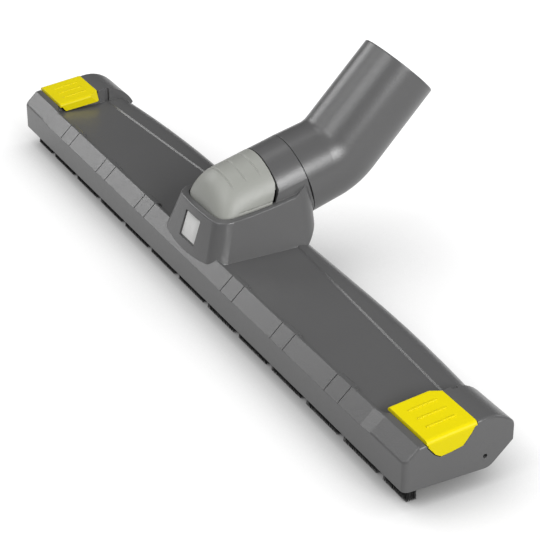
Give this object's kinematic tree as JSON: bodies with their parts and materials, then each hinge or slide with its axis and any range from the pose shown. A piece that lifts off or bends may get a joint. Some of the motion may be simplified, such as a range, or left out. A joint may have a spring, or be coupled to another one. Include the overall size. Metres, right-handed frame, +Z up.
{
  "type": "vacuum floor brush head",
  "caption": "Wide wet and dry vacuum floor head with bristle strips, yellow release clips, grey neck cap and a swivelling elbow",
  "frame": {"origin": "On the floor, under the middle of the front bristle strip", "axes": "+X along the head towards its right end seen from the front, -Y to the front, +Z up"},
  "size_m": [0.4006, 0.1316, 0.1074],
  "materials": {
    "body_plastic": "satin moulded polypropylene, mid grey",
    "cap_plastic": "satin moulded plastic, light warm grey",
    "badge_white": "smooth white plate, bare",
    "clip_yellow": "satin moulded plastic, signal yellow",
    "base_plastic": "satin moulded plastic, dark grey",
    "strip_black": "moulded plastic, black",
    "bristle_black": "black nylon bristle, set in tufts",
    "seal_rubber": "soft black elastomer",
    "spring_steel": "bright zinc-plated steel"
  },
  "bodies": {
    "head": {"housing_shell": "body_plastic", "tower_cap": "cap_plastic", "badge_plate": "badge_white", "swivel_ring": "spring_steel", "base_plate": "base_plastic", "base_screws": "spring_steel", "insert_frame": "base_plastic", "front_strip_backing": "strip_black", "rear_strip_backing": "strip_black", "front_bristles": "bristle_black", "rear_bristles": "bristle_black", "wheel_axle_left": "spring_steel", "wheel_axle_right": "spring_steel"},
    "elbow": {"elbow_tube": "body_plastic", "swivel_seal": "seal_rubber"},
    "clip_left": {"clip_left": "clip_yellow"},
    "clip_right": {"clip_right": "clip_yellow"},
    "wheel_left": {"wheel_hub_left": "strip_black", "wheel_tyre_left": "seal_rubber"},
    "wheel_right": {"wheel_hub_right": "strip_black", "wheel_tyre_right": "seal_rubber"}
  },
  "joints": [
    {"name": "elbow_swivel", "type": "hinge", "parent": "head", "child": "elbow", "pos_m": [0, 0.0513, 0.0493], "axis": [0, 0.9617, 0.274], "continuous": true},
    {"name": "clip_left_slide", "type": "slide", "parent": "head", "child": "clip_left", "axis": [-1, 0, 0], "range_m": [0, 0.003]},
    {"name": "clip_right_slide", "type": "slide", "parent": "head", "child": "clip_right", "axis": [1, 0, 0], "range_m": [0, 0.003]},
    {"name": "wheel_left_axle", "type": "hinge", "parent": "head", "child": "wheel_left", "pos_m": [-0.18515, 0.0295, 0.0149], "axis": [1, 0, 0], "continuous": true},
    {"name": "wheel_right_axle", "type": "hinge", "parent": "head", "child": "wheel_right", "pos_m": [0.18515, 0.0295, 0.0149], "axis": [1, 0, 0], "continuous": true}
  ]
}
